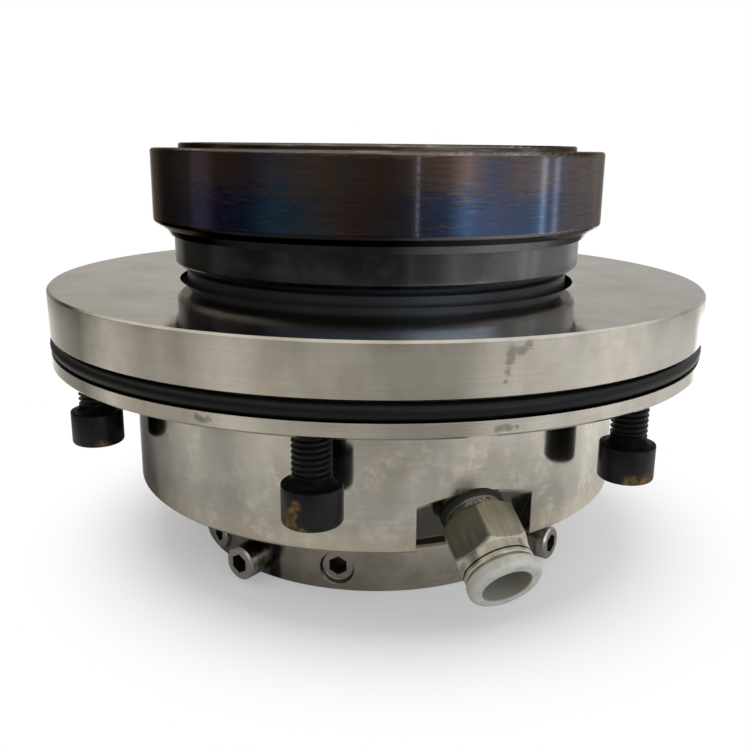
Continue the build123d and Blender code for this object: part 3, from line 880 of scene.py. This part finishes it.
def carbon_finish():
    """Dull black, with the fine rings that it was turned with."""
    made, sketch = material("resin_carbon")
    turned = Turned(sketch)
    lines = turned.rings(4.0, round_the_turn=1.5)
    feeds = {
        "Base Color": sketch.cover(turned.grain(2.5, detail=4.0), shade(CARBON), CARBON_PALE),
        "Roughness": sketch.scaled(lines, 0.12, 0.3),
        "Normal": sketch.bump(lines, depth=0.008),
    }
    sketch.surface(feeds)
    return made


def plain_steel_finish(name, colour, roughness):
    """Bare steel with a faint grain, for small parts."""
    made, sketch = material(name)
    turned = Turned(sketch)
    grain = turned.grain(0.8, detail=4.0, roughness=0.6)
    dull = turned.patches(0.25, 0.45, 0.7)
    darker = tuple(0.72 * part for part in colour)
    tone = sketch.cover(dull, shade(colour), darker, strength=0.6)
    metal(sketch, tone, sketch.scaled(grain, 0.16, roughness), grain, depth=0.01)
    return made


carbon = carbon_finish()
dress("throttle_bush", carbon)
spring_steel = plain_steel_finish("spring_steel", SPRING_STEEL, roughness=0.22)
dress("bush_clip", spring_steel)


# ---- Springs and pins ----
# Eight small coil springs press the seat up.
# Two pins keep it from turning. The web's pockets hold both.
SPRING_COUNT = 8
SPRING_FIRST_ANGLE = -47.2
SPRING_RING = 66.0
SPRING_TURNS = 5
SPRING_WIRE = 1.4
SPRING_COIL_RADIUS = 2.7
STEPS_PER_TURN = 28
WIRE_SIDES = 10
PIN_STEEL = (0.58, 0.57, 0.54)


def coil(form, middle, low, high):
    """One closed spring wire, wound up from low to high, with its foot ground flat."""
    steps = SPRING_TURNS * STEPS_PER_TURN
    climb = (high - low - SPRING_WIRE / 2) / steps
    loops = []
    for step in range(steps + 1):
        angle = 2 * pi * step / STEPS_PER_TURN
        loop = []
        for side in range(WIRE_SIDES):
            round_wire = 2 * pi * side / WIRE_SIDES
            reach = SPRING_COIL_RADIUS + SPRING_WIRE / 2 * cos(round_wire)
            height = low + climb * step + SPRING_WIRE / 2 * sin(round_wire)
            height = min(max(height, low), high)
            place = (middle[0] + reach * cos(angle), middle[1] + reach * sin(angle), height)
            loop.append(form.verts.new([part * MM for part in place]))
        loops.append(loop)
    walls(form, loops)
    form.faces.new(loops[0])
    form.faces.new(loops[-1])


def coil_springs():
    """All the springs as one piece, between the pockets' floors and the carrier."""
    low, high = (corner[2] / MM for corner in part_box("seat_springs"))
    form = bmesh.new()
    for spring in range(SPRING_COUNT):
        angle = radians(SPRING_FIRST_ANGLE + 360 * spring / SPRING_COUNT)
        coil(form, (SPRING_RING * cos(angle), SPRING_RING * sin(angle)), low, high)
    bmesh.ops.recalc_face_normals(form, faces=form.faces)
    piece = as_piece(form, "coil_springs")
    piece.data.materials.append(spring_steel)
    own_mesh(smooth(piece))
    return piece


springs = coil_springs()
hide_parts("seat_springs")
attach(springs, "gland")
dress("seat_pins", plain_steel_finish("ground_pin_steel", PIN_STEEL, roughness=0.16))


# ---- Stationary seat ----
# A black seal ring held in a steel carrier. The ring's narrow nose runs
# against the rotary ring.
CARRIER_STEEL = (0.52, 0.50, 0.46)

dress("seat_carrier", plain_steel_finish("carrier_steel", CARRIER_STEEL, roughness=0.24))
dress("stationary_face", carbon)


# ---- Rotary seal ring ----
# A hard silicon carbide ring, ground to a satin black, whose rim shows below
# its holder.
CARBIDE_INDEX = 2.0
CARBIDE_ANISOTROPY = 0.5
CARBIDE = (0.002, 0.002, 0.002)
CARBIDE_SMEARED = (0.006, 0.0055, 0.005)
# Painted light: a paler colour laid on the ring's right side, by plan angle.
CARBIDE_PAINTED_LIGHT = (0.085, 0.086, 0.090)
CARBIDE_LIT_SIDE = [
    (-180, 0.3),
    (-90, 0.1),
    (-50, 0.0),
    (-6, 0.0),
    (10, 0.22),
    (24, 0.65),
    (38, 1.0),
    (58, 0.7),
    (120, 0.5),
    (180, 0.3),
]


def carbide_finish():
    """Satin black, with painted light that makes it paler on its right side."""
    made, sketch = material("ground_silicon_carbide")
    turned = Turned(sketch)
    smear = turned.patches(0.09, 0.4, 0.65, detail=5.0, roughness=0.6)
    colour = sketch.cover(smear, shade(CARBIDE), CARBIDE_SMEARED)
    # painted light on the right side
    painted_light = turned.by_angle(CARBIDE_LIT_SIDE, sketch.sway(smear, 10.0))
    lines = turned.rings(3.0, round_the_turn=1.0)
    roughness = sketch.scaled(lines, 0.05, 0.07)
    grain = turned.grain(0.8, detail=5.0, roughness=0.65)
    feeds = {
        "Base Color": sketch.cover(painted_light, colour, CARBIDE_PAINTED_LIGHT),
        "Roughness": sketch.scaled(smear, 0.08, roughness),
        "Normal": sketch.bump(grain, depth=0.003),
        "IOR": CARBIDE_INDEX,
        "Anisotropic": CARBIDE_ANISOTROPY,
        "Tangent": sketch.put("Tangent", direction_type="RADIAL", axis="Z"),
    }
    sketch.surface(feeds)
    return made


dress("rotary_face", carbide_finish())


# ---- Rotor holder ----
# The ring that carries the rotary seal ring. It was shrunk on hot, so its steel
# has run to temper colours: straw brown, violet and blue in soft patches.
TEMPER_HIGH = [
    (-180, (0.26, 0.21, 0.17)),
    (-140, (0.24, 0.20, 0.20)),
    (-100, (0.30, 0.22, 0.20)),
    (-72, (0.25, 0.21, 0.13)),
    (-60, (0.32, 0.29, 0.30)),
    (-54, (0.27, 0.21, 0.20)),
    (-48, (0.35, 0.27, 0.29)),
    (-42, (0.27, 0.22, 0.26)),
    (-36, (0.31, 0.20, 0.20)),
    (-30, (0.27, 0.19, 0.20)),
    (-24, (0.20, 0.20, 0.28)),
    (-18, (0.26, 0.22, 0.22)),
    (-12, (0.33, 0.24, 0.19)),
    (-6, (0.28, 0.23, 0.20)),
    (0, (0.30, 0.20, 0.165)),
    (6, (0.26, 0.21, 0.19)),
    (12, (0.32, 0.22, 0.19)),
    (18, (0.29, 0.22, 0.21)),
    (24, (0.19, 0.20, 0.29)),
    (30, (0.26, 0.21, 0.22)),
    (36, (0.24, 0.22, 0.24)),
    (42, (0.19, 0.20, 0.26)),
    (48, (0.24, 0.20, 0.20)),
    (56, (0.36, 0.34, 0.33)),
    (62, (0.42, 0.40, 0.38)),
    (70, (0.31, 0.26, 0.23)),
    (110, (0.25, 0.21, 0.20)),
    (150, (0.22, 0.20, 0.22)),
    (180, (0.26, 0.21, 0.17)),
]
TEMPER_LOW = [
    (-180, (0.14, 0.15, 0.20)),
    (-130, (0.16, 0.15, 0.22)),
    (-90, (0.20, 0.18, 0.20)),
    (-72, (0.29, 0.24, 0.14)),
    (-60, (0.28, 0.26, 0.27)),
    (-54, (0.17, 0.16, 0.19)),
    (-48, (0.22, 0.20, 0.26)),
    (-42, (0.18, 0.17, 0.32)),
    (-36, (0.10, 0.10, 0.25)),
    (-30, (0.09, 0.11, 0.25)),
    (-24, (0.10, 0.20, 0.38)),
    (-18, (0.13, 0.19, 0.28)),
    (-12, (0.19, 0.20, 0.22)),
    (-6, (0.25, 0.16, 0.13)),
    (0, (0.19, 0.15, 0.17)),
    (6, (0.12, 0.15, 0.22)),
    (12, (0.11, 0.15, 0.26)),
    (18, (0.12, 0.20, 0.36)),
    (24, (0.19, 0.24, 0.41)),
    (30, (0.14, 0.19, 0.31)),
    (36, (0.13, 0.19, 0.32)),
    (42, (0.15, 0.17, 0.23)),
    (48, (0.21, 0.19, 0.20)),
    (56, (0.32, 0.32, 0.34)),
    (62, (0.36, 0.35, 0.35)),
    (72, (0.28, 0.22, 0.19)),
    (110, (0.14, 0.16, 0.26)),
    (150, (0.13, 0.15, 0.23)),
    (180, (0.14, 0.15, 0.20)),
]
RIM_TOP = 145.7
RIM_BOTTOM = 120.7
HOLDER_BARE = (0.27, 0.255, 0.235)
HOLDER_FLECK = (0.42, 0.29, 0.15)
HOLDER_GRIMY = (0.13, 0.11, 0.085)
HOLDER_EDGE = (0.34, 0.31, 0.29)
HOLDER_ANISOTROPY = 0.65
HOLDER_SATURATION = 1.12
TEMPER_LEVELS = (128.0, 139.0)
# Below the rim: painted shade, dark at the left and front, and painted light, paler and bluish, on
# the right.
UNDERSIDE_PAINTED_SHADE = (0.020, 0.021, 0.026)
UNDERSIDE_PAINTED_LIGHT = (0.20, 0.205, 0.25)
UNDERSIDE_SHADED_BY_ANGLE = [
    (-180, 0.5),
    (-80, 0.9),
    (-60, 1.0),
    (2, 1.0),
    (26, 0.0),
    (70, 0.0),
    (180, 0.5),
]
SCRAPE_ANGLE = 7.6
SCRAPE_HALF = 0.6
SCRAPE_SHADE = (0.46, 0.47, 0.50)
SCREW_STEEL = (0.50, 0.48, 0.45)


def temper_finish():
    """Temper colours drawn out along the turning, worn bare on top, with painted shade below the
    rim that turns to painted light on the right.
    """
    made, sketch = material("heat_tinted_steel")
    turned = Turned(sketch)
    drift = sketch.sway(turned.grain(0.06, detail=4.0, roughness=0.6), 1.0)
    dash = sketch.sway(turned.rings(1.5, round_the_turn=24.0, detail=4.0), 1.0)
    shift = sketch.scaled(dash, 6.0, sketch.times(drift, 8.0))
    high = turned.by_angle(TEMPER_HIGH, shift)
    low = turned.by_angle(TEMPER_LOW, shift)
    level = sketch.scaled(drift, 14.0, turned.height)
    level = sketch.scaled(dash, 26.0, level)
    colour = sketch.mix(sketch.rise(level, *TEMPER_LEVELS), low, high)
    feeds = {"Color": colour, "Saturation": HOLDER_SATURATION}
    colour = sketch.put("HueSaturation", feeds)
    flecks = sketch.rise(turned.rings(1.9, round_the_turn=26.0), 0.62, 0.70)
    colour = sketch.cover(flecks, colour, HOLDER_FLECK, strength=0.55)
    lines = turned.rings(2.6, round_the_turn=9.0, detail=3.0)
    colour = sketch.toned(colour, sketch.swing(lines, 0.84, 1.12))

    scrape = sketch.math("ABSOLUTE", sketch.math("SUBTRACT", turned.angle(), SCRAPE_ANGLE))
    scrape = sketch.rise(scrape, SCRAPE_HALF, SCRAPE_HALF * 0.3)
    scrape = sketch.times(scrape, turned.past_height(RIM_TOP - 0.2, RIM_TOP - 1.0))
    broken = turned.patches(0.9, 0.34, 0.62, roughness=0.7)
    scrape = sketch.times(scrape, sketch.scaled(broken, 0.32, 0.14))
    colour = sketch.cover(scrape, colour, SCRAPE_SHADE)

    ragged = sketch.scaled(dash, 3.0, turned.height)
    ragged = sketch.scaled(drift, 4.0, ragged)
    edge = sketch.rise(ragged, RIM_TOP - 2.2, RIM_TOP - 0.7)
    grime = sketch.rise(turned.rings(1.4, round_the_turn=6.0, detail=3.0), 0.50, 0.66)
    bare = sketch.cover(grime, shade(HOLDER_GRIMY), HOLDER_BARE)
    colour = sketch.mix(sketch.times(edge, 0.85), colour, bare)
    # painted shade below the rim, with painted light on the right
    underside_light = sketch.cover(turned.by_angle(UNDERSIDE_SHADED_BY_ANGLE), shade(UNDERSIDE_PAINTED_LIGHT), UNDERSIDE_PAINTED_SHADE)
    below = turned.past_height(RIM_BOTTOM + 1.3, RIM_BOTTOM + 0.5)
    colour = sketch.mix(below, colour, underside_light)

    roughness = sketch.scaled(lines, 0.08, 0.055)
    roughness = sketch.scaled(edge, 0.12, roughness)
    roughness = sketch.scaled(scrape, 0.20, roughness)
    metal(sketch, colour, roughness, lines, 0.0012, HOLDER_ANISOTROPY, shade(HOLDER_EDGE))
    return made


dress("rotor_holder", temper_finish())
dress("holder_screws", plain_steel_finish("countersunk_screw_steel", SCREW_STEEL, roughness=0.28))


# ---- Shaft sleeve ----
# A turned stainless tube that carries the whole rotor and slides on the
# pump's shaft.
SLEEVE_COLOUR = (0.55, 0.53, 0.49)
SLEEVE_STAIN = (0.36, 0.32, 0.27)
# Painted shade for the drive collar's outer face, and the radii past which it lies
PAINTED_SHADE_TONE = (0.035, 0.033, 0.028)
PAINTED_SHADE_RADII = (60.0, 64.0)  # radii


def turned_steel_finish(name, colour, stain, roughness, stained, shade_by_angle=None):
    """Turned steel with rings from the tool and a brown haze of oil and dust.

    Painted shade can be laid on its outer face by plan angle."""
    made, sketch = material(name)
    turned = Turned(sketch)
    fine = turned.rings(4.0, round_the_turn=1.5)
    haze = turned.patches(0.07, 0.38, 0.68, detail=5.0, roughness=0.65)
    tone = sketch.cover(haze, shade(colour), stain, strength=stained)
    tone = sketch.toned(tone, sketch.swing(fine, 0.88, 1.06))
    if shade_by_angle:
        # painted shade by plan angle
        painted_light = turned.by_angle(shade_by_angle, sketch.sway(turned.grain(0.15), 1.5))
        painted_light = sketch.times(painted_light, turned.past_radius(*PAINTED_SHADE_RADII))
        tone = sketch.cover(painted_light, tone, PAINTED_SHADE_TONE)
    roughness = sketch.scaled(haze, 0.10, roughness)
    metal(sketch, tone, roughness, fine, depth=0.006, anisotropy=0.5)
    return made


dress(
    "shaft_sleeve",
    turned_steel_finish("sleeve_steel", SLEEVE_COLOUR, SLEEVE_STAIN, roughness=0.24, stained=0.5),
)


# ---- Drive collar ----
# A thick ring at the outer end that grips the shaft through its set screws and
# turns the sleeve.
COLLAR_COLOUR = (0.78, 0.71, 0.61)
COLLAR_STAIN = (0.45, 0.385, 0.31)
# Painted shade on the collar by plan angle: darkest to the left and none just right of the front.
# A narrow dark stripe at -33 to -28 degrees is a painted reflection of the backed-out screw beside
# it.
COLLAR_PAINTED_SHADE = [
    (-180, 0.35),
    (-120, 0.45),
    (-60, 0.62),
    (-38, 0.66),
    (-33.8, 0.60),
    (-32.6, 0.97),
    (-29.2, 0.97),
    (-28.0, 0.42),
    (-14, 0.38),
    (-2, 0.30),
    (10, 0.0),
    (26, 0.0),
    (40, 0.36),
    (60, 0.45),
    (120, 0.40),
    (180, 0.35),
]

dress(
    "drive_collar",
    turned_steel_finish("collar_steel", COLLAR_COLOUR, COLLAR_STAIN, 0.17, 0.7, COLLAR_PAINTED_SHADE),
)


# ---- Set screws ----
# M12 cup point set screws of bright steel, dulled by oil: four sunk ones bite
# the shaft, four stand a little out and four are backed well out.
COLLAR_MIDDLE = 8.25
SOCKET_EDGE = (3.7, 3.6)
END_FACE = (2.4, 1.6)  # how far behind the end its rubbed part starts and is full
SOCKET_MOUTH = (0.15, 0.5)
SCREW_PALE = (0.30, 0.27, 0.23)
SCREW_BROWN = (0.18, 0.155, 0.13)
SCREW_BRIGHT = (0.52, 0.49, 0.44)
SOCKET_PAINTED_SHADE = (0.12, 0.10, 0.07)
SET_SCREWS = [
    ("clamp_screws", "sunk_set_screws", -11.0, 65.0),
    ("proud_screws", "proud_set_screws", -56.0, 68.4),
    ("drive_screws", "backed_out_set_screws", -36.0, 78.0),
]


def set_screw_finish(name, first_angle, face):
    """The socket has painted shade, and the end face, that far out, is rubbed bright."""
    made, sketch = material(name)
    turned = Turned(sketch)
    side = sketch.math("SUBTRACT", turned.angle(), first_angle - 45.0)
    side = sketch.math("SUBTRACT", sketch.math("WRAP", side, 90.0, 0.0), 45.0)
    side = sketch.times(side, pi / 180)
    across = sketch.times(sketch.math("SINE", side), turned.radius)
    ahead = sketch.times(sketch.math("COSINE", side), turned.radius)
    above = sketch.math("SUBTRACT", turned.height, COLLAR_MIDDLE)
    from_axis = sketch.measure("LENGTH", sketch.put("CombineXYZ", {0: across, 1: above}))
    behind = sketch.math("SUBTRACT", face, ahead)
    haze = turned.patches(0.35, 0.4, 0.65, roughness=0.6)
    tone = sketch.cover(haze, shade(SCREW_PALE), SCREW_BROWN)
    tone = sketch.cover(sketch.rise(behind, *END_FACE), tone, SCREW_BRIGHT, strength=0.85)
    # painted shade deep in the hex socket
    socket_shade = sketch.rise(from_axis, *SOCKET_EDGE)
    socket_shade = sketch.times(socket_shade, sketch.rise(behind, *SOCKET_MOUTH))
    tone = sketch.cover(socket_shade, tone, SOCKET_PAINTED_SHADE, strength=0.96)
    skin = turned.grain(1.1, detail=4.0, roughness=0.6)
    roughness = sketch.scaled(skin, 0.14, 0.18)
    roughness = sketch.scaled(socket_shade, 0.2, roughness)
    metal(sketch, tone, roughness, skin, depth=0.008)
    return made


for node, finish_name, first_angle, face in SET_SCREWS:
    dress(node, set_screw_finish(finish_name, first_angle, face))


# ---- Quench fitting ----
# A straight push-in tube fitting: a nickel plated brass body with spanner
# flats, screwed down on a thin washer in the hub's notch.
FITTING_SEAT = (30.087, -81.335, 36.4)
FITTING_AXIS = (0.298159, -0.806028, -0.511293)
NICKEL = (0.97, 0.91, 0.77)
NICKEL_DULL = (0.86, 0.79, 0.64)
NICKEL_BARE = 0.86
FLATS_PAINTED_SHADE = (0.88, 0.88, 0.76)
# The way that the painted-shade flats face, and how dark they are made
SHADED_SIDE = (-0.66, -0.56, 0.50)
SIDE_SHADE = 0.42
CRUSTED_SIDE = (0.27, -0.44, 0.86)
SEALANT = (0.95, 0.92, 0.80)
SHOULDER_END = 5.0
SHOULDER_PAINTED_SHADE = 0.45
HEX_END = 18.4
GROOVE_MIDDLE = 21.65
GROOVE_HALF = 0.28
GROOVE_DARK = (0.05, 0.04, 0.03)
LIP_MIDDLE = 1.6
LIP_HALF = 0.3
EDGE_BREAK = 0.28
WASHER_NYLON = (0.030, 0.027, 0.022)
WASHER_SOILED = (0.015, 0.014, 0.012)


def from_fitting(sketch, turned):
    """The way from the fitting's seat, and how far along its axis that leads."""
    out = sketch.vector("SUBTRACT", turned.spot, FITTING_SEAT)
    return out, sketch.measure("DOT_PRODUCT", out, FITTING_AXIS)


def nickel_finish():
    """Nickel plate, with painted shade on its left flats and towards its shoulder, a darker groove
    and crusted sealant.
    """
    made, sketch = material("nickel_plated_brass")
    turned = Turned(sketch)
    out, station = from_fitting(sketch, turned)
    haze = turned.patches(0.10, 0.35, 0.65, detail=3.0)
    tone = sketch.cover(haze, shade(NICKEL), NICKEL_DULL)
    # painted shade on the flats that face away to the left
    side = sketch.rise(sketch.measure("DOT_PRODUCT", out, SHADED_SIDE), 10.1, 10.8)
    side = sketch.times(side, sketch.rise(station, HEX_END + 1.5, HEX_END - 0.5))
    tone = sketch.tint(side, tone, SIDE_SHADE)
    # darker along the groove
    groove = sketch.math("COMPARE", station, GROOVE_MIDDLE, GROOVE_HALF)
    tone = sketch.cover(groove, tone, GROOVE_DARK, strength=0.9)
    # painted shade on the flats, warm and growing towards the shoulder
    flats_shade = sketch.rise(station, HEX_END - 3.0, SHOULDER_END + 2.0)
    tone = sketch.tint(flats_shade, tone, FLATS_PAINTED_SHADE)
    # painted shade round the shoulder, where it sits in the notch; the lip keeps the plain nickel
    # colour
    root = sketch.rise(station, SHOULDER_END + 0.3, SHOULDER_END - 0.2)
    tone = sketch.tint(root, tone, SHOULDER_PAINTED_SHADE)
    lip = sketch.math("COMPARE", station, LIP_MIDDLE, LIP_HALF)
    tone = sketch.cover(lip, tone, NICKEL)
    upper = sketch.rise(sketch.measure("DOT_PRODUCT", out, CRUSTED_SIDE), 5.5, 7.5)
    crust = turned.patches(1.9, 0.40, 0.60, detail=2.0, roughness=0.5)
    crust = sketch.times(crust, root, upper)
    tone = sketch.cover(crust, tone, SEALANT)
    bands = sketch.stretched(FITTING_AXIS, sketch.times(station, 0.85))
    bands = sketch.vector("SUBTRACT", turned.spot, bands)
    bands = sketch.noise(bands, 0.55, detail=1.0)
    tone = sketch.toned(tone, sketch.swing(bands, 0.80, 1.0))
    roughness = sketch.scaled(bands, 0.10, 0.24)
    roughness = sketch.scaled(crust, 0.25, roughness)
    metal(sketch, tone, roughness, bare=NICKEL_BARE)
    return made


def plastic_finish(name, colour, darker, roughness, shaded_bore=0.0):
    """Moulded plastic, a little soiled, with painted shade inside a bore if one is given."""
    made, sketch = material(name)
    turned = Turned(sketch)
    grain = turned.grain(1.8, detail=4.0, roughness=0.6)
    soil_and_shade = sketch.times(turned.patches(0.3, 0.45, 0.75), 0.5)
    # painted shade inside the bore
    if shaded_bore:
        out, station = from_fitting(sketch, turned)
        middle = sketch.stretched(FITTING_AXIS, station)
        reach = sketch.measure("DISTANCE", out, middle)
        soil_and_shade = sketch.math("MAXIMUM", soil_and_shade, sketch.rise(reach, shaded_bore + 0.35, shaded_bore + 0.05))
    feeds = {
        "Base Color": sketch.cover(soil_and_shade, shade(colour), darker),
        "Roughness": sketch.scaled(grain, 0.1, roughness),
        "Normal": sketch.bump(grain, depth=0.01),
    }
    sketch.surface(feeds)
    return made


def eased_copy(node, name, width):
    """A solid's own mesh, joined up and with its sharp edges broken."""
    form = bmesh.new()
    form.from_mesh(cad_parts[node].data)
    bmesh.ops.remove_doubles(form, verts=form.verts, dist=0.002 * MM)
    bmesh.ops.dissolve_limit(form, angle_limit=radians(0.6), verts=form.verts, edges=form.edges)
    piece = smooth(as_piece(form, name), crease=20.0)
    easing = piece.modifiers.new("easing", "BEVEL")
    easing.width = width * MM
    easing.segments = 3
    easing.limit_method = "ANGLE"
    easing.angle_limit = radians(28)
    easing.use_clamp_overlap = True
    easing.harden_normals = True
    return applied(piece)


fitting = eased_copy("fitting_body", "nickel_fitting", EDGE_BREAK)
fitting.data.materials.clear()
fitting.data.materials.append(nickel_finish())
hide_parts("fitting_body")
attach(fitting, "gland")
dress("fitting_washer", plastic_finish("washer_nylon", WASHER_NYLON, WASHER_SOILED, roughness=0.5))
dress("grip_ring", spring_steel)


# ---- Release button ----
# The pale acetal ring at the fitting's mouth. It is pushed in to let the tube go, and has painted
# shade inside its bore.
BUTTON_BORE = 7.75
ACETAL = (0.655, 0.64, 0.575)
# A soiled colour, also used as painted shade inside the bore
ACETAL_SOILED_AND_SHADED = (0.36, 0.325, 0.265)

dress("release_button", plastic_finish("pale_acetal", ACETAL, ACETAL_SOILED_AND_SHADED, 0.32, BUTTON_BORE))
